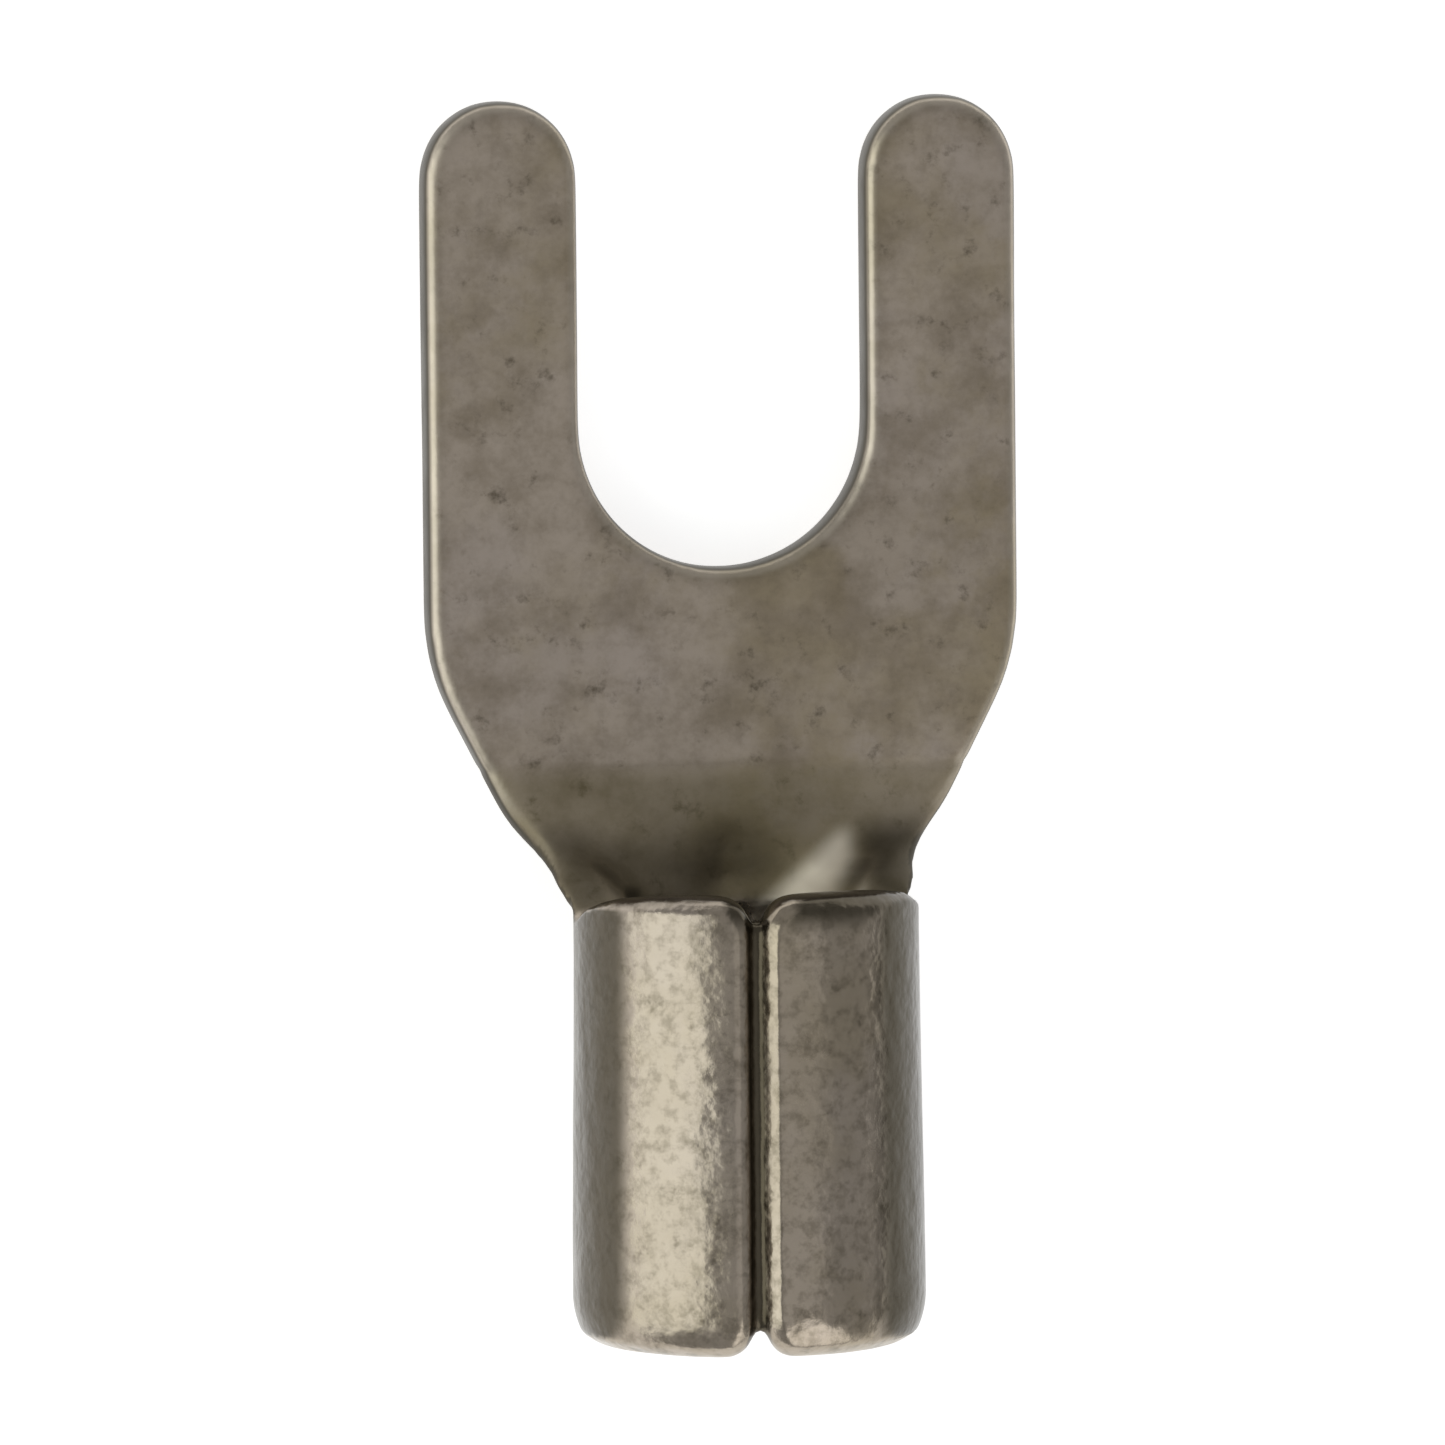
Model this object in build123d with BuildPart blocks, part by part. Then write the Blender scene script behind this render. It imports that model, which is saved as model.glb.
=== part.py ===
"""A bare fork terminal, stamped and rolled from one piece of tin-plated copper strip.

The flat tongue lies in XY with its slot open towards +Y. Behind the tongue the strip drops
and curls up into a trough, and the trough runs into a barrel that is rolled shut along a
butt seam on top. The origin is on the stud's axis, at the underside of the tongue.
"""

import os
from math import asin, atan2, cos, degrees, hypot, radians, sin, tan

from build123d import *

# The strip and its flat tongue, in millimetres
sheet = 1.0
tongue_width = 9.0
slot_width = 4.3
slot_depth = 7.05
shoulder_radius = 3.2
shoulder_reach = 3.0

# The neck, where the flat strip curls into a half round trough
neck_back = 5.8
neck_length = 1.4
trough_angle = 84.0
crease_lag = 0.1
crease_depth = 0.1
crease_width = 0.4
crease_run = 0.4

# The rolled barrel, which takes 4 to 6 square millimetres of stranded wire
bore = 3.3
barrel_length = 6.9
barrel_drop = 0.2
seam_gap = 0.15
seam_turn = 6.0
wing_corner = 0.45
relief_depth = 0.5
relief_reach = 1.9

# Edges: the punch rolls the blank's outer side over and leaves the upper side crisper
top_edge = 0.12
outer_edge = 0.25

# Sizes that follow from those above
slot_radius = slot_width / 2
tine_radius = (tongue_width - slot_width) / 4
tip_front = slot_depth - slot_radius
barrel_outer = bore + 2 * sheet
mean_radius = (bore + sheet) / 2
axis_height = barrel_outer / 2 - barrel_drop
barrel_mouth = -(neck_back + neck_length)
barrel_front = barrel_mouth + relief_depth
mouth_half = barrel_outer / 2 * sin(radians(trough_angle))
wing_root = axis_height - bore / 2 * cos(radians(trough_angle))

# The sides run in one straight line from the shoulders' arcs to the barrel's mouth
across = tongue_width / 2 - shoulder_radius - mouth_half
along = shoulder_reach + neck_length
taper = atan2(across, along) + asin(shoulder_radius / hypot(across, along))
neck_half = mouth_half + neck_length * tan(taper)


def ease(step):
    """A smooth climb from 0 to 1, level at both ends."""
    return step * step * (3 - 2 * step)


def floor_height(step):
    """The height of the strip's middle line along the middle of the neck."""
    return sheet / 2 - barrel_drop * ease(step)


def strip_section(step):
    """The strip's section in XZ, from flat at step 0 to the barrel's trough at step 1.

    The middle line is an arc that curls more tightly with each step, and it reaches out as
    far as the straight sides that run from the tongue to the barrel.
    """
    half = neck_half + (mouth_half - neck_half) * step
    floor = floor_height(step)
    with BuildSketch(Plane.XZ.offset(neck_back + neck_length * step)) as section:
        if step == 0:
            with Locations((0, floor)):
                Rectangle(2 * half, sheet)
        else:
            angle = radians(trough_angle) * ease(step)
            radius = half / sin(angle) - sheet / 2

            def at(turn, offset):
                reach = radius - offset
                return (reach * sin(turn), floor + radius - reach * cos(turn))

            with BuildLine():
                under = ThreePointArc(
                    at(-angle, -sheet / 2), at(0, -sheet / 2), at(angle, -sheet / 2)
                )
                upper = ThreePointArc(at(angle, sheet / 2), at(0, sheet / 2), at(-angle, sheet / 2))
                Line(under @ 1, upper @ 0)
                Line(upper @ 1, under @ 0)
            make_face()
        fillet(section.vertices().sort_by(Axis.Y)[:2], top_edge)
    return section.sketch


def crease_section(back, surface):
    """The V of the forming punch's ridge, from as far above the trough's floor as it goes below."""
    with BuildSketch(Plane.XZ.offset(back)) as section:
        with BuildLine():
            Polyline(
                (0, surface - crease_depth),
                (crease_width, surface + crease_depth),
                (-crease_width, surface + crease_depth),
                close=True,
            )
        make_face()
    return section.sketch


neck_steps = 4
neck_sections = [strip_section(number / neck_steps) for number in range(neck_steps + 1)]

crease_start = floor_height(crease_lag / neck_length) + sheet / 2
crease_steps = [
    number / neck_steps for number in range(1, neck_steps + 1)
    if neck_length * number / neck_steps > crease_lag
]
crease_sections = [
    crease_section(neck_back + neck_length * step, floor_height(step) + sheet / 2)
    for step in crease_steps
]

with BuildPart() as terminal:
    # The tongue: a U slot for the stud, tines with full round tips, and rounded shoulders
    with BuildSketch():
        with BuildLine():
            slot_end = CenterArc((0, 0), slot_radius, -90, 90)
            slot_side = Line(slot_end @ 1, (slot_radius, tip_front - tine_radius))
            tip = RadiusArc(slot_side @ 1, (tongue_width / 2, tip_front - tine_radius), tine_radius)
            side = Line(tip @ 1, (tongue_width / 2, shoulder_reach - neck_back))
            shoulder = JernArc(side @ 1, (0, -1), shoulder_radius, -degrees(taper))
            Polyline(shoulder @ 1, (neck_half, -neck_back), (0, -neck_back))
            mirror(about=Plane.YZ)
        make_face()
    extrude(amount=sheet)

    # The blank's outer edge is rolled over all round, but for the end that the neck joins
    outline = terminal.edges().filter_by_position(Axis.Z, 0, 0).sort_by(Axis.Y)[1:]
    fillet(outline, outer_edge)

    # The neck, curling up from the flat strip
    loft(neck_sections)

    # The upper edge is crisper, round the tongue and on along both sides of the neck
    outline = terminal.edges().filter_by(lambda edge: edge.center().Y > -neck_back)
    neck_edges = terminal.edges().filter_by_position(
        Axis.Y, barrel_mouth + neck_length / 4, -neck_back - neck_length / 4
    )
    rims = neck_edges.sort_by(Axis.Z)[-2:]
    fillet(outline.filter_by_position(Axis.Z, sheet, sheet) + rims, top_edge)

    # The barrel, rolled round the wire until its two wings meet in the seam
    mouth_plane = Plane((0, barrel_mouth, axis_height), x_dir=(1, 0, 0), z_dir=(0, -1, 0))
    with BuildSketch(mouth_plane) as ring:
        Circle(barrel_outer / 2)
        Circle(bore / 2, mode=Mode.SUBTRACT)
        Rectangle(
            seam_gap,
            barrel_outer,
            rotation=seam_turn,
            align=(Align.CENTER, Align.MIN),
            mode=Mode.SUBTRACT,
        )
    extrude(amount=barrel_length - relief_depth)

    # Only the wings reach on forward, over the end of the neck
    with BuildSketch(mouth_plane):
        add(ring.sketch_local)
        with Locations((0, wing_root - axis_height)):
            Rectangle(
                barrel_outer,
                barrel_outer,
                align=(Align.CENTER, Align.MAX),
                mode=Mode.SUBTRACT,
            )
    extrude(amount=-relief_depth)

    # The crease that the forming punch leaves along the trough's floor, fading at both ends
    loft(
        [
            Vertex(0, -neck_back - crease_lag, crease_start + crease_depth),
            *crease_sections,
            Vertex(0, barrel_mouth - crease_run, axis_height - bore / 2 + crease_depth),
        ],
        ruled=True,
        mode=Mode.SUBTRACT,
    )

    # Rounded wing corners at both ends of the seam, which are the short edges over the bore
    crown = terminal.edges().filter_by(lambda edge: edge.center().Z > axis_height + bore / 2)
    fillet(crown.filter_by(lambda edge: edge.length < 1.1 * sheet), wing_corner)

    # The rolled outer edge runs along the seam and round both ends of the barrel
    fillet(terminal.edges().filter_by(Axis.Y).sort_by(Axis.Z)[-1], outer_edge)

    # The relief that lets each wing leave the neck without tearing
    with BuildSketch(Plane.YZ):
        with BuildLine():
            scoop = TangentArc(
                (barrel_front, axis_height + relief_reach),
                (barrel_mouth, wing_root),
                tangent=(0, -1),
            )
            Polyline(scoop @ 1, (barrel_front, wing_root), scoop @ 0)
        make_face()
    extrude(amount=barrel_outer, both=True, mode=Mode.SUBTRACT)

os.makedirs("parts", exist_ok=True)
terminal.part.label = "fork_terminal"
export_step(terminal.part, "parts/fork_terminal.step")
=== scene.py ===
# %% [markdown]
# # A bare fork terminal in tinned copper
#
# The real object is one strip of copper, 1 mm thick. A press stamps its outline and rolls one
# end into a barrel for a wire, and then a whole batch tumbles in a drum while tin is plated
# on. This file dresses the exact CAD solid: it makes a finer skin with the marks of the press
# and the drum, gives it its tin, and sets the light and the camera as the photograph has them.

import math

import bmesh
import bpy
from mathutils import Matrix, Vector


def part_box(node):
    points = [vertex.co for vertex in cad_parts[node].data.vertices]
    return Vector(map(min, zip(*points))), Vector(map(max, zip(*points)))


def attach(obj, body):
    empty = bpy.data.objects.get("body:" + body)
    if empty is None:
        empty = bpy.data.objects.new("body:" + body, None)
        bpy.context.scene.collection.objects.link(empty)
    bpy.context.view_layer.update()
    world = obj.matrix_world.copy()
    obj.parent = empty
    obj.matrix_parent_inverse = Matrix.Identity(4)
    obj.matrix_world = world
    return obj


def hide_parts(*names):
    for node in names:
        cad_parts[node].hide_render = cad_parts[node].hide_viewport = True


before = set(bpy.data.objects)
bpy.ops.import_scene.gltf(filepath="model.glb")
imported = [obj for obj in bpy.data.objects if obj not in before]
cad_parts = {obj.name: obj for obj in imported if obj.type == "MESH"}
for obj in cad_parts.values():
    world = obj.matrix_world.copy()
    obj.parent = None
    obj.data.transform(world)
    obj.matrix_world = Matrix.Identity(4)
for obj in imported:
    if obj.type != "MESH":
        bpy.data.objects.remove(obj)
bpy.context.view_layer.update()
bpy.context.scene.view_settings.view_transform = "Standard"

# %% [markdown]
# ## Places on the terminal
#
# In the frame, X runs across the tongue, Y along it towards the tips and Z up out of its upper
# face, and the origin is on the stud's axis. The marks, the tones and the painted shade and
# highlights are tied to places on the part, so the few sizes that they hang on are named here
# once, in millimetres. They are those of the solid: the bent strip's own, and the barrel's rear
# end from the box of the CAD node.

# %% Places
MM = 0.001
SHEET = 1.0
BORE_RADIUS = 1.65
BARREL_RADIUS = BORE_RADIUS + SHEET
BARREL_DROP = 0.2
AXIS_HEIGHT = BARREL_RADIUS - BARREL_DROP

NECK_FRONT = -5.8
NECK_LENGTH = 1.4
MOUTH = NECK_FRONT - NECK_LENGTH
WINGS_REACH = 0.5
WINGS_FRONT = MOUTH + WINGS_REACH

# Above this height there are only the barrel and its wings
WINGS_ABOVE = 2.4

# The seam stands 6 degrees off the crown, so it goes this far to the left for each step up
SEAM_LEAN = 0.105

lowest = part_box("fork_terminal")[0]
REAR = lowest.y / MM
print("neck from", NECK_FRONT, "to", round(MOUTH, 2), "mm")
print("barrel from", round(WINGS_FRONT, 2), "to", round(REAR, 2), "mm")

# %% [markdown]
# ## The camera
#
# The photograph looks almost straight down through a long lens. It shows a little of the left
# wall of the tongue and of the tips' ends, so the camera leans to the left and towards the
# tips. A camera could be turned by three angles, but it is easier to check one that is built
# from the direction it looks in: a few measured points of the photograph gave these numbers.

# %% Camera
PHOTO_PIXELS = 1445
PIXELS_PER_MM = 67.0

lean_left = math.radians(10.0)
lean_to_tips = math.radians(5.0)
turn = math.radians(0.5)
distance = 220 * MM

# The point of the part that the camera is aimed at, and the photograph's pixel that shows it
aim = Vector((0, -4.45, 1.5)) * MM
aim_in_photo = (733.0, 724.5)

back = Vector((-math.sin(lean_left), math.sin(lean_to_tips), 0))
back.z = math.sqrt(1 - back.length_squared)
right = Vector((0, 1, 0)).cross(back).normalized()
up = back.cross(right)
right_turned = right * math.cos(turn) - up * math.sin(turn)
up_turned = up * math.cos(turn) + right * math.sin(turn)
off_centre = (aim_in_photo[0] - PHOTO_PIXELS / 2, PHOTO_PIXELS / 2 - aim_in_photo[1])

lens = bpy.data.cameras.new("long lens")
lens.sensor_width = 36
lens.lens = lens.sensor_width * (distance / MM) * PIXELS_PER_MM / PHOTO_PIXELS
lens.clip_start = 0.01
lens.clip_end = 10
camera = bpy.data.objects.new("camera", lens)
place = aim + back * distance
place -= (right_turned * off_centre[0] + up_turned * off_centre[1]) * MM / PIXELS_PER_MM
camera.matrix_world = Matrix.Translation(place) @ Matrix(
    (right_turned, up_turned, back)
).transposed().to_4x4()
bpy.context.scene.collection.objects.link(camera)
bpy.context.scene.camera = camera
print("camera at", [round(v / MM, 1) for v in place], "mm, lens", round(lens.lens), "mm")

# %% [markdown]
# ## Small helpers
#
# Colours are written as sRGB hex, as a colour picker shows them, and Blender's sockets want
# linear values, so one function turns one into the other. A second one adds any node with its
# settings and its links, which keeps a node tree readable as a list of steps.


# %% Helpers
def linear(hex_colour):
    """An sRGB hex colour as linear RGBA."""
    values = [int(hex_colour[i : i + 2], 16) / 255 for i in (1, 3, 5)]
    return [v / 12.92 if v <= 0.04045 else ((v + 0.055) / 1.055) ** 2.4 for v in values] + [1.0]


def add(tree, kind, inputs=None, **settings):
    """Adds one node.

    inputs maps a socket to a value, to an output, or to a node, whose first output feeds it.
    """
    node = tree.nodes.new(kind)
    for name, value in settings.items():
        setattr(node, name, value)
    for socket, value in (inputs or {}).items():
        if isinstance(value, bpy.types.Node):
            value = value.outputs[0]
        if isinstance(value, bpy.types.NodeSocket):
            tree.links.new(value, node.inputs[socket])
        else:
            node.inputs[socket].default_value = value
    return node


print("#808080 in linear values:", round(linear("#808080")[0], 3))

# %% [markdown]
# ## The tin's patterns
#
# Matte tin plate is a soft grey metal. Plating in a drum leaves it slightly cloudy: thin places
# have a yellow cast where the copper warms them, others lean to pink, and dark specks stay where
# dirt or the drum's media struck. It is a metal all over, so its colour is the colour of its
# reflections, and one Principled shader with metallic 1 does the whole piece.
#
# Painting these patches by hand would tie them to one size of picture. Noise on the Object
# coordinates stays on the piece from every side, and its scale follows from a real size.

# %% Patterns
tin = bpy.data.materials.new("matte tin plate on copper")
tin.use_nodes = True
shades = tin.node_tree
shades.nodes.clear()
where = add(shades, "ShaderNodeTexCoord").outputs["Object"]

# At a scale of 1, a blob of Blender's noise is about half a unit wide
BLOB = 0.5


def cloud(millimetres, detail, low, high, roughness=0.5, shift=(0.0, 0.0, 0.0)):
    """Noise whose blobs are about this wide, stretched so that low to high runs from 0 to 1."""
    moved = add(shades, "ShaderNodeMapping", {"Vector": where, "Location": shift})
    noise = add(
        shades,
        "ShaderNodeTexNoise",
        {
            "Vector": moved,
            "Scale": BLOB / (millimetres * MM),
            "Detail": detail,
            "Roughness": roughness,
        },
    )
    return add(
        shades,
        "ShaderNodeMapRange",
        {"Value": noise, "From Min": low, "From Max": high},
        interpolation_type="SMOOTHSTEP",
    )


def blend(mask, under, over, strength):
    """Lays one colour over another by a mask."""
    share = add(shades, "ShaderNodeMath", {0: mask, 1: strength}, operation="MULTIPLY")
    mix = add(shades, "ShaderNodeMix", {0: share, 6: under, 7: over}, data_type="RGBA")
    return mix.outputs[2]


print("material:", tin.name)

# %% [markdown]
# ## Where the tin differs
#
# The tin isn't the same all over. Where the strip was rolled, its skin was stretched into fine
# pebbles that shine more, and towards the bend between tongue and barrel it is painted a darker
# olive. Some places get painted shade and others a painted highlight, which stand in for
# reflections of whatever stood round the real part, as that isn't known, and the seam is painted
# darker deep down. The tree of marks further down writes four attributes on the skin for this,
# the rolled skin, the painted shade, the painted highlights and the darker seam, each from 0 to
# 1, and the material reads them. An attribute follows the surface, and the camera has no part in
# it.

# %% Attributes
# In order: the rolled skin, the painted shade, the painted highlights and the seam painted darker
rolled, painted_shade, painted_highlight, seam_darkening = (
    add(shades, "ShaderNodeAttribute", attribute_name=name).outputs["Fac"]
    for name in ("rolled", "painted_shade", "painted_highlight", "seam_darkening")
)

# The olive band fades in towards the neck, and it leaves out the barrel behind it
along_strip = add(shades, "ShaderNodeSeparateXYZ", {0: where}).outputs["Y"]
towards_barrel = add(
    shades,
    "ShaderNodeMapRange",
    {
        "Value": along_strip,
        "From Min": (NECK_FRONT + 1.1) * MM,
        "From Max": (NECK_FRONT + 0.4) * MM,
    },
    interpolation_type="SMOOTHSTEP",
)
olive_band = add(
    shades,
    "ShaderNodeMath",
    {0: towards_barrel, 1: rolled},
    operation="SUBTRACT",
    use_clamp=True,
)
print("rubbed from", round(NECK_FRONT + 1.1, 2), "mm, fully from", round(NECK_FRONT + 0.4, 2))

# %% [markdown]
# ## The tin's colour
#
# The colour is built as a glaze is: a base, and then one thin layer after another, each with
# its own mask, tone and strength. The clouds are one to two millimetres wide, the tarnished
# patches half a millimetre, and the pits and specks a tenth or two, as on the real plating.
# Tarnish shows less on the barrel, and the finest specks show mostly there.

# %% Colour
yellow_cast = cloud(1.8, detail=6, low=0.42, high=0.66, roughness=0.6)
pink_cast = cloud(1.3, detail=6, low=0.48, high=0.62, roughness=0.6, shift=(0.02, 0.01, 0.0))
tarnish = cloud(0.55, detail=5, low=0.38, high=0.70, roughness=0.65, shift=(0.0, 0.03, 0.0))
specks = cloud(0.11, detail=4, low=0.42, high=0.72, roughness=0.65, shift=(0.01, 0.0, 0.0))
pits = cloud(0.18, detail=4, low=0.56, high=0.80, roughness=0.65, shift=(0.02, 0.03, 0.0))

less_rolled = add(shades, "ShaderNodeMapRange", {"Value": rolled, "To Min": 0.85, "To Max": 0.25})
barrel_specks = add(shades, "ShaderNodeMath", {0: specks, 1: rolled}, operation="MULTIPLY")

layers = [
    # Thin tin, which the copper warms, and tin that leans to pink
    (yellow_cast, "#8E8163", 0.8),
    (pink_cast, "#AEA39B", 0.6),
    # Brown tarnish, and the greyer tin of the rolled barrel with its specks
    (tarnish, "#746855", less_rolled),
    (rolled, "#A79D8F", 0.55),
    (barrel_specks, "#5C5445", 0.48),
    # Dark pits all over, and the darker olive painted towards the bend
    (pits, "#554D3F", 0.75),
    (olive_band, "#827856", 0.65),
    # Painted highlights, painted shade, and the seam painted darker deep down
    (painted_highlight, "#F4EBDA", 0.85),
    (painted_shade, "#423D32", 0.95),
    (seam_darkening, "#4A4438", 0.95),
]
colour = linear("#B0A497")
for mask, tone, strength in layers:
    colour = blend(mask, colour, linear(tone), strength)
print("colour:", len(layers), "layers over the base")

# %% [markdown]
# ## The tin's fine relief
#
# The stretched skin of the barrel has a fine grain and, like orange peel, softer dimples a
# fifth of a millimetre wide. Both are too fine for the net, so they are bumps, and the rolled
# attribute makes them weaker on the flat tongue. Tin's own crystals are a few thousandths of a
# millimetre wide and wouldn't show, so the finest grain here is drawn at 0.08 mm.

# %% Fine relief
GRAIN_WIDTH = 0.08
GRAIN_DEPTH = 0.006
PEEL_WIDTH = 0.20
PEEL_DEPTH = 0.030

grain = add(
    shades,
    "ShaderNodeTexNoise",
    {"Vector": where, "Scale": BLOB / (GRAIN_WIDTH * MM), "Detail": 3.0, "Roughness": 0.6},
)
peel = add(
    shades,
    "ShaderNodeTexNoise",
    {"Vector": where, "Scale": BLOB / (PEEL_WIDTH * MM), "Detail": 2.0, "Roughness": 0.5},
)
fine = add(
    shades,
    "ShaderNodeBump",
    {"Height": grain, "Strength": rolled, "Distance": GRAIN_DEPTH * MM},
)
relief = add(
    shades,
    "ShaderNodeBump",
    {"Height": peel, "Normal": fine, "Strength": rolled, "Distance": PEEL_DEPTH * MM},
)
print("grain", GRAIN_WIDTH, "mm wide, dimples", PEEL_WIDTH, "mm wide")

# %% [markdown]
# ## The tin's gloss
#
# Matte tin spreads its reflections, and it does so least where it was pressed and stretched.
# The flat tongue has a roughness near 0.4 and the barrel one near 0.24, a cloud under a
# millimetre wide makes both a little uneven, and towards the bend the tin is roughest of all. The
# shader keeps the default IOR, as a metal does.

# %% Gloss and shader
ROUGH_FLAT = 0.46
ROUGH_ROLLED = 0.24
ROUGH_UNEVEN = 0.04
ROUGH_OLIVE_BAND = 0.25

even = add(
    shades,
    "ShaderNodeMapRange",
    {"Value": rolled, "To Min": ROUGH_FLAT, "To Max": ROUGH_ROLLED},
)
breath = add(
    shades,
    "ShaderNodeMapRange",
    {
        "Value": cloud(0.8, detail=3, low=0.3, high=0.7, shift=(0.05, 0.0, 0.0)),
        "To Min": -ROUGH_UNEVEN,
        "To Max": ROUGH_UNEVEN,
    },
)
uneven = add(shades, "ShaderNodeMath", {0: even, 1: breath}, operation="ADD")
rough = add(
    shades,
    "ShaderNodeMath",
    {0: olive_band, 1: ROUGH_OLIVE_BAND, 2: uneven},
    operation="MULTIPLY_ADD",
)

metal = add(
    shades,
    "ShaderNodeBsdfPrincipled",
    {"Base Color": colour, "Metallic": 1.0, "Roughness": rough, "Normal": relief},
)
add(shades, "ShaderNodeOutputMaterial", {"Surface": metal})
print("material:", tin.name, "with", len(shades.nodes), "nodes")

# %% [markdown]
# ## The terminal's skin
#
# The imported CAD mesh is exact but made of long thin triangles, which can't carry the small
# waves that pressing and tumbling leave. So a copy of it is merged into one closed shell,
# rebuilt as an even net of small squares, and laid back on the CAD surface. The work is done
# in millimetres: in metres Blender's remesher makes no square smaller than a tenth of a
# millimetre, and the squares of this net are smaller.

# %% Even net over the CAD surface
NET_MM = 0.070
MERGE_MM = 0.0005

shell = bpy.data.meshes.new("shell")
shape = bmesh.new()
shape.from_mesh(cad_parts["fork_terminal"].data)
bmesh.ops.transform(shape, matrix=Matrix.Scale(1 / MM, 4), verts=shape.verts)
bmesh.ops.remove_doubles(shape, verts=shape.verts, dist=MERGE_MM)
shape.to_mesh(shell)
shape.free()
guide = bpy.data.objects.new("cad surface in millimetres", shell)
bpy.context.scene.collection.objects.link(guide)


def baked(source, name):
    """The object's mesh with its modifiers, as a plain mesh."""
    depsgraph = bpy.context.evaluated_depsgraph_get()
    mesh = bpy.data.meshes.new_from_object(source.evaluated_get(depsgraph))
    mesh.name = name
    return mesh


work = bpy.data.objects.new("net", shell.copy())
bpy.context.scene.collection.objects.link(work)
net = work.modifiers.new("even net", "REMESH")
net.mode = "VOXEL"
net.voxel_size = NET_MM
fit = work.modifiers.new("back on the CAD surface", "SHRINKWRAP")
fit.target = guide
fit.wrap_method = "NEAREST_SURFACEPOINT"
netted = baked(work, "netted terminal")
work.modifiers.clear()
work.data = netted
print("net:", len(netted.vertices), "points,", len(netted.polygons), "faces")

# %% [markdown]
# ## Marks of the press and the drum
#
# On the real part the flat tongue is nearly true, the neck is one smooth curl, the barrel is
# pebbled, squeezed a little at the front and rolled over at the rear, and a faint line crosses
# the tongue where the bending punch stood. A rule gives all of it from a point's place, so a
# Geometry Nodes tree moves the points, and its sizes are named inputs in millimetres. The
# other way, sculpting, would give the same look but couldn't be changed by a number afterwards.

# %% Inputs of the tree
marks = bpy.data.node_groups.new("marks of press and drum", "GeometryNodeTree")
marks.interface.new_socket("Geometry", in_out="INPUT", socket_type="NodeSocketGeometry")
marks.interface.new_socket("Geometry", in_out="OUTPUT", socket_type="NodeSocketGeometry")
mark_sizes = {
    "Barrel radius": BARREL_RADIUS,
    "Bore radius": BORE_RADIUS,
    "Barrel axis height": AXIS_HEIGHT,
    "Barrel start": WINGS_FRONT,
    "Relief depth": WINGS_REACH,
    "Rear end": REAR,
    "Front squeeze": 0.06,
    "Rear roll-over": 0.22,
    "Rear roll length": 0.75,
    "Pebble width": 0.42,
    "Pebble depth": 0.010,
    "Tongue share": 0.35,
    "Wave width": 2.4,
    "Wave depth": 0.030,
    "Punch line": NECK_FRONT + 0.65,
    "Punch line width": 0.07,
    "Punch line depth": 0.012,
    "Seam lean": SEAM_LEAN,
}
sockets = {}
for name, value in mark_sizes.items():
    socket = marks.interface.new_socket(name, in_out="INPUT", socket_type="NodeSocketFloat")
    socket.default_value = value
    sockets[name] = socket.identifier
finish_socket = marks.interface.new_socket(
    "Finish", in_out="INPUT", socket_type="NodeSocketMaterial"
)

asked = add(marks, "NodeGroupInput").outputs
point = add(marks, "GeometryNodeInputPosition")
normal = add(marks, "GeometryNodeInputNormal")
across, along, high = add(marks, "ShaderNodeSeparateXYZ", {0: point}).outputs
sideways, _, upright = add(marks, "ShaderNodeSeparateXYZ", {0: normal}).outputs
print("inputs of the tree:", list(mark_sizes))

# %% [markdown]
# ## Zones
#
# Every mark keeps to one place, such as the neck's trough, and fades out at its borders. A
# place could be picked as a group of points, but then it would be lost when the net changes.
# Here it is a mask: the product of a few smooth steps, in the point's place, which is in
# millimetres, or in its normal, whose three parts run from -1 to 1.


# %% Zones
def zone(*limits, most=1.0):
    """A mask that is full where each value is past its second limit, and 0 before its first."""
    mask = most
    for value, none, full in limits:
        step = add(
            marks,
            "ShaderNodeMapRange",
            {"Value": value, "From Min": none, "From Max": full},
            interpolation_type="SMOOTHSTEP",
        )
        mask = add(marks, "ShaderNodeMath", {0: step, 1: mask}, operation="MULTIPLY")
    return mask


def strongest(masks):
    """The strongest of several masks at each point."""
    top = masks[0]
    for mask in masks[1:]:
        top = add(marks, "ShaderNodeMath", {0: top, 1: mask}, operation="MAXIMUM")
    return top


def moved(shifted_net, direction, length):
    """A net with its points moved this far in a direction, or the other way below zero."""
    step = add(marks, "ShaderNodeVectorMath", {0: direction, "Scale": length}, operation="SCALE")
    return add(marks, "GeometryNodeSetPosition", {"Geometry": shifted_net, "Offset": step})


print("zones read", across.name, along.name, high.name, "and the normal")

# %% [markdown]
# ## Softening
#
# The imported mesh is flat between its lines, and the net copies those flats. A Smooth modifier
# would blur all of it alike, so the tree blurs the points' places with a weight of their own:
# fully in the curled neck, which on the real part is one smooth surface, less on the tongue,
# whose edges stay crisp, and least on the barrel.

# %% Softening
BLUR_ROUNDS = 24
SOFT_BARREL = 0.13
SOFT_TONGUE = 0.42

curled = zone(
    (along, MOUTH - 0.1, MOUTH + 0.1),
    (along, NECK_FRONT + 0.4, NECK_FRONT - 0.1),
    (high, WINGS_ABOVE + 0.1, WINGS_ABOVE - 0.2),
)
elsewhere = add(
    marks,
    "ShaderNodeMapRange",
    {
        "Value": along,
        "From Min": MOUTH,
        "From Max": MOUTH + 0.35,
        "To Min": SOFT_BARREL,
        "To Max": SOFT_TONGUE,
    },
    interpolation_type="SMOOTHSTEP",
)
blurred = add(
    marks,
    "GeometryNodeBlurAttribute",
    {"Value": point, "Iterations": BLUR_ROUNDS, "Weight": strongest([curled, elsewhere])},
    data_type="FLOAT_VECTOR",
)
softened = add(
    marks, "GeometryNodeSetPosition", {"Geometry": asked["Geometry"], "Position": blurred}
)
print("softening:", BLUR_ROUNDS, "rounds")

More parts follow.
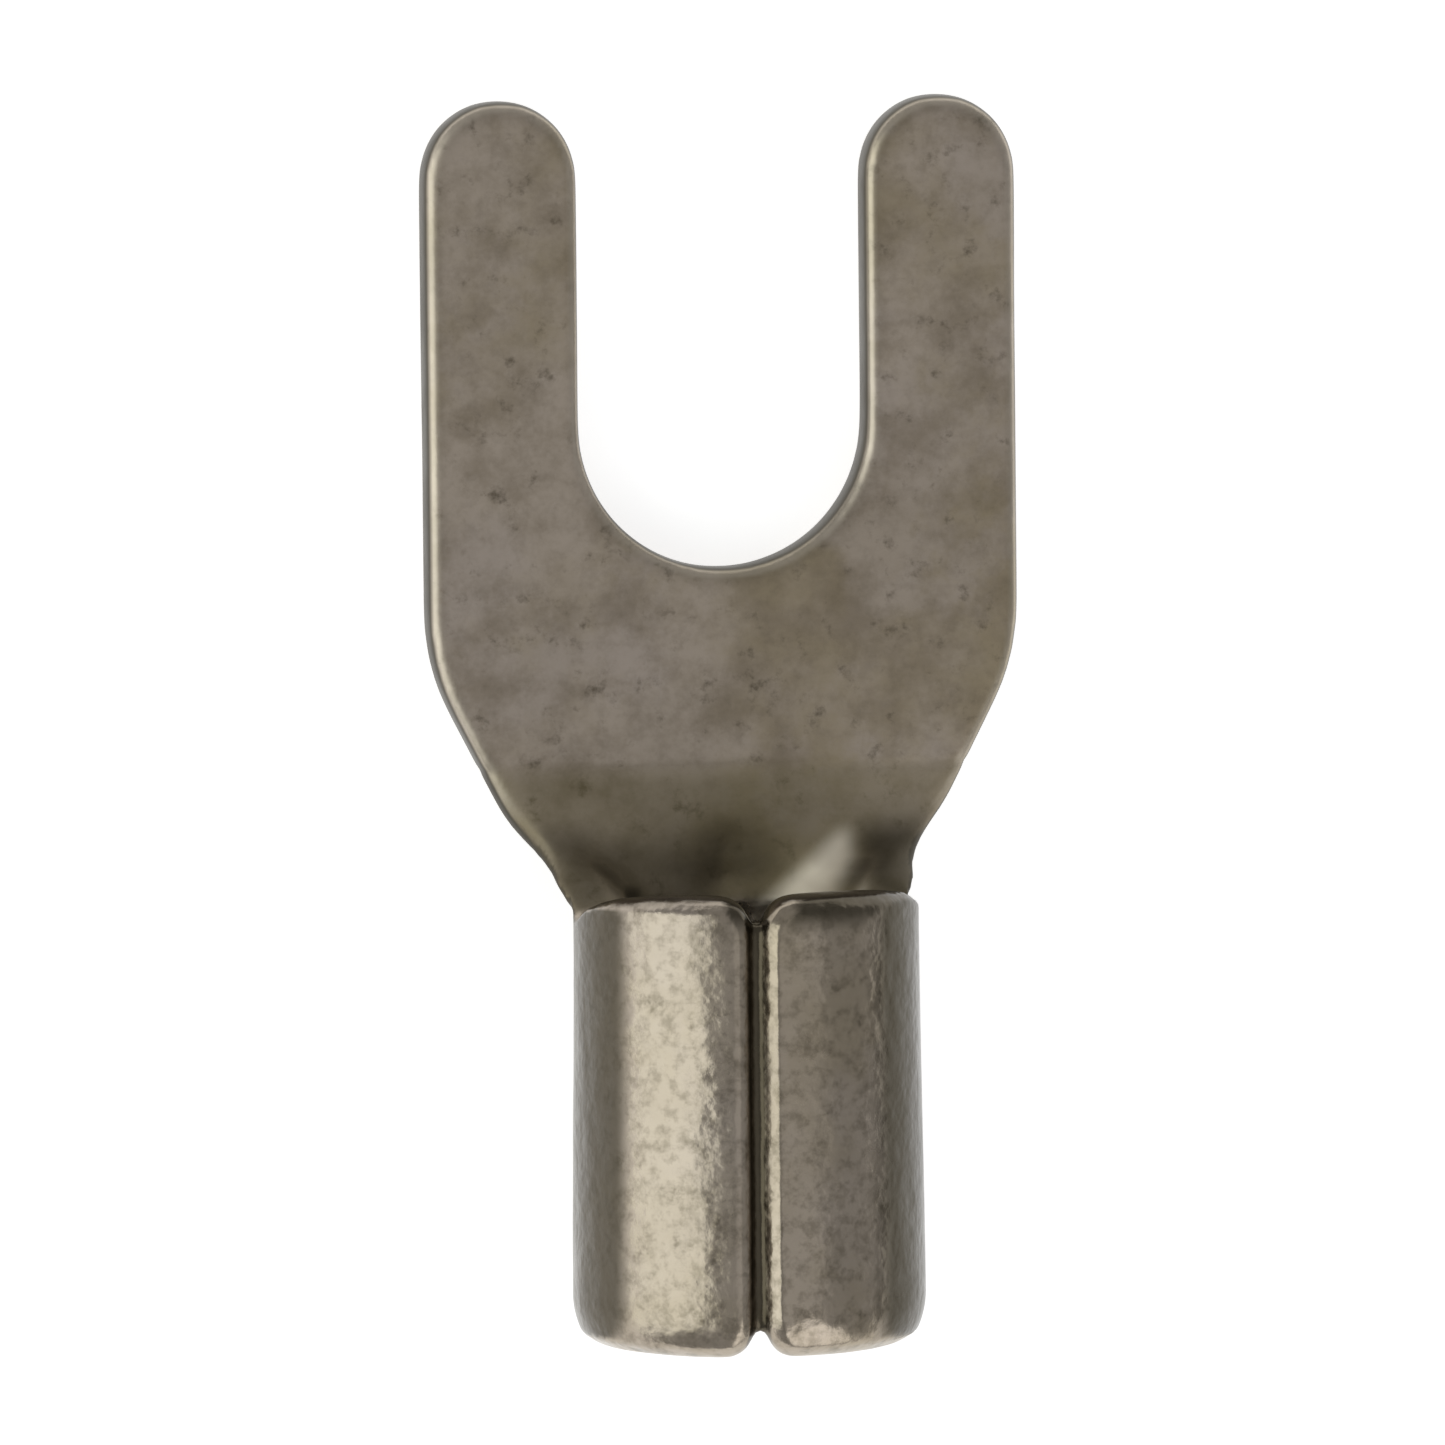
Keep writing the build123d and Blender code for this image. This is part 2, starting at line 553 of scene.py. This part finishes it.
# %% [markdown]
# ## The barrel's true round
#
# The barrel was rolled round a mandrel, so it is a true cylinder inside and out. More blur
# would round it too, but it would also shrink it. So points that lie near one of the two
# cylinders are moved on to it, along the spoke that joins them to the axis, and points of the
# seam and the ends stay. The wings reach further forward than the ring below them, so above
# the height of their roots the round starts further forward too.

# %% The barrel's round
# How far off a cylinder a point may lie to be moved on to it, wholly or in part
NEAR = 0.015
FAR = 0.08

from_axis = add(
    marks, "ShaderNodeMath", {0: high, 1: asked["Barrel axis height"]}, operation="SUBTRACT"
)
spoke = add(marks, "ShaderNodeCombineXYZ", {0: across, 2: from_axis})
outwards = add(marks, "ShaderNodeVectorMath", {0: spoke}, operation="NORMALIZE")
radius = add(marks, "ShaderNodeVectorMath", {0: spoke}, operation="LENGTH").outputs["Value"]

below = add(marks, "ShaderNodeMath", {0: high, 1: WINGS_ABOVE}, operation="LESS_THAN")
later = add(marks, "ShaderNodeMath", {0: below, 1: asked["Relief depth"]}, operation="MULTIPLY")
start = add(marks, "ShaderNodeMath", {0: asked["Barrel start"], 1: later}, operation="SUBTRACT")
before = add(marks, "ShaderNodeMath", {0: start, 1: asked["Relief depth"]}, operation="ADD")
on_barrel = (along, before, start)

trued = softened
for cylinder in ("Barrel radius", "Bore radius"):
    miss = add(marks, "ShaderNodeMath", {0: asked[cylinder], 1: radius}, operation="SUBTRACT")
    error = add(marks, "ShaderNodeMath", {0: miss}, operation="ABSOLUTE")
    trued = moved(trued, outwards, zone((error, FAR, NEAR), on_barrel, most=miss))
print("round: cylinders of", round(BARREL_RADIUS, 2), "and", BORE_RADIUS, "mm")

# %% [markdown]
# ## Squeeze and roll-over
#
# On the real part the front of the barrel was squeezed a few hundredths of a millimetre closer
# than the rest, and its rear edge is rolled over, as the drum leaves a thin end. A bevel would
# give the edge one even radius, but this one is long and soft. So both marks move points
# inwards along their spokes, and the roll-over grows as a square, so that it starts without an
# edge. It fades out towards the bore, which keeps its size there.

# %% Squeeze and roll-over
squeeze = zone(
    (along, REAR + 0.4, asked["Barrel start"]), on_barrel, most=asked["Front squeeze"]
)
roll_start = add(
    marks, "ShaderNodeMath", {0: asked["Rear end"], 1: asked["Rear roll length"]}, operation="ADD"
)
past_start = add(
    marks,
    "ShaderNodeMapRange",
    {"Value": along, "From Min": roll_start, "From Max": asked["Rear end"]},
)
curve = add(marks, "ShaderNodeMath", {0: past_start, 1: 2.0}, operation="POWER")
drop = add(marks, "ShaderNodeMath", {0: curve, 1: asked["Rear roll-over"]}, operation="MULTIPLY")
roll_over = zone((radius, BORE_RADIUS + 0.15, BARREL_RADIUS - 0.15), most=drop)
inwards = add(marks, "ShaderNodeMath", {0: roll_over, 1: squeeze}, operation="ADD")
outwards_by = add(marks, "ShaderNodeMath", {0: inwards, 1: -1.0}, operation="MULTIPLY")
formed = moved(trued, outwards, outwards_by)
print("squeeze", mark_sizes["Front squeeze"], "mm, roll-over", mark_sizes["Rear roll-over"], "mm")

# %% [markdown]
# ## Pebbles, waves and the punch line
#
# Stretched skin rises into pebbles under half a millimetre wide, the blows of the drum leave
# slow waves a few millimetres long, and the edge of the punch leaves a line across the tongue.
# All of them are hollows: the noise is kept at or below zero, because the dressed piece may not
# reach past the CAD solid. The same share that fades the pebbles out on the tongue is stored
# as the attribute rolled.


# %% Pebbles, waves and the punch line
def waves(width, depth, detail):
    """Smooth noise at or below zero, with hollows of this width and this depth."""
    scale = add(marks, "ShaderNodeMath", {0: BLOB, 1: asked[width]}, operation="DIVIDE")
    noise = add(
        marks,
        "ShaderNodeTexNoise",
        {"Vector": point, "Scale": scale, "Detail": detail, "Roughness": 0.5},
    )
    hollow = add(marks, "ShaderNodeMath", {0: noise, 1: 1.0}, operation="SUBTRACT")
    return add(marks, "ShaderNodeMath", {0: hollow, 1: asked[depth]}, operation="MULTIPLY")


early = add(marks, "ShaderNodeMath", {0: start, 1: 0.15}, operation="ADD")
rolled_share = add(
    marks,
    "ShaderNodeMapRange",
    {"Value": along, "From Min": early, "From Max": start, "To Min": asked["Tongue share"]},
    interpolation_type="SMOOTHSTEP",
)
pebbles = add(
    marks,
    "ShaderNodeMath",
    {0: waves("Pebble width", "Pebble depth", 2.0), 1: rolled_share},
    operation="MULTIPLY",
)
rolling = waves("Wave width", "Wave depth", 1.0)
hollows = add(marks, "ShaderNodeMath", {0: pebbles, 1: rolling}, operation="ADD")

# A bell across the line: e to the power of minus the square of the distance in line widths
away = add(marks, "ShaderNodeMath", {0: along, 1: asked["Punch line"]}, operation="SUBTRACT")
away = add(marks, "ShaderNodeMath", {0: away, 1: asked["Punch line width"]}, operation="DIVIDE")
square = add(marks, "ShaderNodeMath", {0: away, 1: away}, operation="MULTIPLY")
bell = add(marks, "ShaderNodeMath", {0: 1 / math.e, 1: square}, operation="POWER")
line = add(marks, "ShaderNodeMath", {0: bell, 1: asked["Punch line depth"]}, operation="MULTIPLY")
hollows = add(marks, "ShaderNodeMath", {0: hollows, 1: line}, operation="SUBTRACT")
pebbled = moved(formed, normal, hollows)
print("pebbles", mark_sizes["Pebble width"], "mm wide, waves", mark_sizes["Wave width"], "mm")

# %% [markdown]
# ## Painted shade
#
# The cut walls of the tongue are torn rough by the press and look dark, and painted shade
# darkens them further. The barrel's flanks, the left half of the neck, the ends of its trough and
# the front edge of the right wing get painted shade as well, because they are darker on the real
# part than these lamps make them. They could be painted on the points by hand, but zones follow
# the shape when a size changes. Each place has its own zone and its own strength, and where two
# of them meet the stronger one holds.

# %% Painted shade
trough = (
    (along, NECK_FRONT, NECK_FRONT - 0.5),
    (high, WINGS_ABOVE - 0.1, WINGS_ABOVE - 0.4),
    (upright, 0.3, 0.6),
)
behind_bend = (along, NECK_FRONT - 0.1, NECK_FRONT - 0.5)
level = add(marks, "ShaderNodeMath", {0: upright}, operation="ABSOLUTE")

painted_shade_zones = [
    # The cut walls of the tongue and the neck: a rough torn surface, darkened further by painted
    # shade
    zone((level, 0.7, 0.3), (along, MOUTH + 0.1, MOUTH + 0.6)),
    # Painted shade on the barrel's right flank and on its left one
    zone(behind_bend, (sideways, 0.52, 0.70)),
    zone(behind_bend, (sideways, -0.76, -0.86), most=0.9),
    # Painted shade on the left half of the neck's trough, which faces to the right
    zone(*trough, (sideways, -0.04, 0.3), most=0.45),
    # Painted shade on the trough's right and left ends, close under the rims
    zone(*trough, (across, 1.7, 2.2), most=0.8),
    zone(*trough, (across, -1.7, -2.3), most=0.48),
    # Painted shade on the front edge of the right wing
    zone(
        (along, MOUTH - 0.15, MOUTH + 0.25),
        (high, WINGS_ABOVE + 0.1, WINGS_ABOVE + 0.6),
        (sideways, -0.1, 0.1),
        most=0.9,
    ),
]
painted_shade_places = strongest(painted_shade_zones)
print("dull places:", len(painted_shade_zones), "zones")

# %% [markdown]
# ## Painted highlights and the darker seam
#
# A painted highlight brightens one slanting patch at the right of the trough, and a weaker one
# the tongue's upper rim. Deep in the seam, which leans off the crown as it rises, the tin is
# painted darker.

# %% Painted highlights and the darker seam
# The patch's edge runs forwards as it goes to the right, this far for each millimetre
PATCH_SLANT = 0.94
sloped = add(marks, "ShaderNodeMath", {0: across, 1: PATCH_SLANT}, operation="MULTIPLY")
slantwise = add(marks, "ShaderNodeMath", {0: sloped, 1: along}, operation="SUBTRACT")
patch = zone(*trough, (slantwise, 7.45, 7.95), (across, 2.05, 1.6))
rim = zone(
    (upright, 0.98, 0.90),
    (upright, 0.15, 0.40),
    (along, NECK_FRONT - 0.2, NECK_FRONT + 0.4),
    most=0.3,
)
painted_highlight_places = strongest([patch, rim])

# The seam is painted darker deep down
off_seam = add(
    marks,
    "ShaderNodeMath",
    {0: from_axis, 1: asked["Seam lean"], 2: across},
    operation="MULTIPLY_ADD",
)
off_seam = add(marks, "ShaderNodeMath", {0: off_seam}, operation="ABSOLUTE")
seam_darkening_places = zone(
    (off_seam, 0.13, 0.08),
    (high, 3.6, 3.9),
    (radius, BARREL_RADIUS - 0.05, BARREL_RADIUS - 0.15),
)
print("bright places: the trough's patch and the rim; dirt: the seam")

# %% [markdown]
# ## The end of the tree
#
# The four masks are stored as attributes on the points, where the material finds them. The tree
# ends in Realize Instances and Set Material, so that it would still export if instances were
# added to it.

# %% End of the tree
marked = add(marks, "GeometryNodeSetShadeSmooth", {0: pebbled})
# Besides the rolled skin, these hold the painted shade, the painted highlights and the darker
# seam
attributes = {
    "painted_shade": painted_shade_places,
    "rolled": rolled_share,
    "painted_highlight": painted_highlight_places,
    "seam_darkening": seam_darkening_places,
}
for name, value in attributes.items():
    marked = add(
        marks,
        "GeometryNodeStoreNamedAttribute",
        {"Geometry": marked, "Name": name, "Value": value},
        data_type="FLOAT",
        domain="POINT",
    )
real = add(marks, "GeometryNodeRealizeInstances", {0: marked})
finished = add(
    marks, "GeometryNodeSetMaterial", {"Geometry": real, "Material": asked["Finish"]}
)
add(marks, "NodeGroupOutput", {0: finished})
print("tree of marks:", len(marks.nodes), "nodes, attributes", list(attributes))

# %% [markdown]
# ## The finished piece
#
# The tree is run once and its result becomes a plain mesh. It is brought back from millimetres
# to metres in its vertices, so the object itself stays at the origin and unscaled, as the
# export needs, and it then stands in for the CAD node on the part's only body.

# %% Terminal
pressed = work.modifiers.new("marks", "NODES")
pressed.node_group = marks
for name, value in mark_sizes.items():
    pressed[sockets[name]] = value
pressed[finish_socket.identifier] = tin
skin = baked(work, "tinned terminal")
work.modifiers.clear()
skin.transform(Matrix.Scale(MM, 4))
terminal = bpy.data.objects.new("tinned_terminal", skin)
bpy.context.scene.collection.objects.link(terminal)
for helper in (work, guide):
    bpy.data.objects.remove(helper)
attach(terminal, "root")
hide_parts("fork_terminal")
triangles = sum(len(face.vertices) - 2 for face in skin.polygons)
print("terminal:", triangles, "triangles, materials", [m.name for m in skin.materials])

# %% [markdown]
# ## White board
#
# The photograph's background is plain white. More light could make the floor white, but it
# would wash out the part as well. So the part lies on matte white board, which spreads light
# evenly, and the board's own glow, which only the camera and mirror-like surfaces see, lifts it
# to white. The board still takes the part's shadow.

# %% White board
FLOOR_GLOW = 0.70

board = bpy.data.materials.new("white board")
board.use_nodes = True
board_nodes = board.node_tree
board_nodes.nodes.clear()
paths = add(board_nodes, "ShaderNodeLightPath").outputs
seen = paths["Is Camera Ray"]
for ray in ("Is Glossy Ray", "Is Transmission Ray"):
    seen = add(board_nodes, "ShaderNodeMath", {0: seen, 1: paths[ray]}, operation="MAXIMUM")
lift = add(board_nodes, "ShaderNodeMath", {0: seen, 1: FLOOR_GLOW}, operation="MULTIPLY")
paper = add(board_nodes, "ShaderNodeBsdfDiffuse", {"Color": linear("#E6E6E6")})
glow = add(board_nodes, "ShaderNodeEmission", {"Color": linear("#FFFFFF"), "Strength": lift})
both = add(board_nodes, "ShaderNodeAddShader", {0: paper, 1: glow})
add(board_nodes, "ShaderNodeOutputMaterial", {"Surface": both})
print("material:", board.name, "with", len(board_nodes.nodes), "nodes")

# %% [markdown]
# ## Floor
#
# The board is one large square at the height of the part's lowest point, so wide that its edge
# stays out of the picture.

# %% Floor
FLOOR_HALF_METRES = 3.0

corners = [(-1, -1), (1, -1), (1, 1), (-1, 1)]
floor_mesh = bpy.data.meshes.new("floor")
floor_mesh.from_pydata(
    [(x * FLOOR_HALF_METRES, y * FLOOR_HALF_METRES, lowest.z) for x, y in corners],
    [],
    [(0, 1, 2, 3)],
)
floor_mesh.materials.append(board)
floor = bpy.data.objects.new("floor", floor_mesh)
bpy.context.scene.collection.objects.link(floor)
print("floor:", 2 * FLOOR_HALF_METRES, "m wide, at", round(lowest.z / MM, 2), "mm")

# %% [markdown]
# ## Lamps
#
# A metal tube shows its surroundings as long bands, so the lamps are placed by what the barrel
# mirrors. A soft window low on the left draws the broad bright band down the barrel, a dim pale
# ceiling is what the flat tongue mirrors, and a third soft lamp, behind the barrel and to the
# right, lights its rear edge. A lamp's power is hard to guess, but how bright its face looks in
# the metal can be read off the photograph, so the power is worked out from that.


# %% Lamps
def softbox(name, direction, reach_mm, width_mm, height_mm, radiance, tint):
    """A flat lamp that faces the part. Its power follows from how bright its face should be."""
    lamp = bpy.data.lights.new(name, "AREA")
    lamp.shape = "RECTANGLE"
    lamp.size = width_mm * MM
    lamp.size_y = height_mm * MM
    lamp.energy = radiance * math.pi * lamp.size * lamp.size_y
    lamp.color = linear(tint)[:3]
    holder = bpy.data.objects.new(name, lamp)
    towards = Vector(direction).normalized()
    holder.location = aim + towards * reach_mm * MM
    holder.rotation_euler = towards.to_track_quat("Z", "Y").to_euler()
    bpy.context.scene.collection.objects.link(holder)
    print(name, "power", round(lamp.energy, 4), "W")


def from_above(tilt_right, tilt_to_tips):
    """A direction so many degrees off straight up, to the right and towards the tips."""
    return (math.tan(math.radians(tilt_right)), math.tan(math.radians(tilt_to_tips)), 1.0)


lamps = [
    # Name, direction, distance, width, height, brightness of its face, and tint
    ("window", from_above(-69, -12), 300, 300, 380, 1.30, "#FAFFF8"),
    ("ceiling", from_above(14, -10), 400, 330, 330, 0.19, "#FFFFFF"),
    ("far wall", from_above(38, -56), 320, 240, 260, 1.2, "#FFFFFF"),
]
for lamp_values in lamps:
    softbox(*lamp_values)

# %% [markdown]
# ## The room
#
# The rest of the room is an even, dim white all round. It fills the metal's reflections where
# no lamp stands, and softens the part's shadow.

# %% World
AIR = 0.40
world = bpy.data.worlds.new("room")
bpy.context.scene.world = world
world.use_nodes = True
room = world.node_tree
room.nodes.clear()
air = add(room, "ShaderNodeBackground", {"Color": linear("#FFFFFF"), "Strength": AIR})
add(room, "ShaderNodeOutputWorld", {"Surface": air})
print("world strength", AIR)
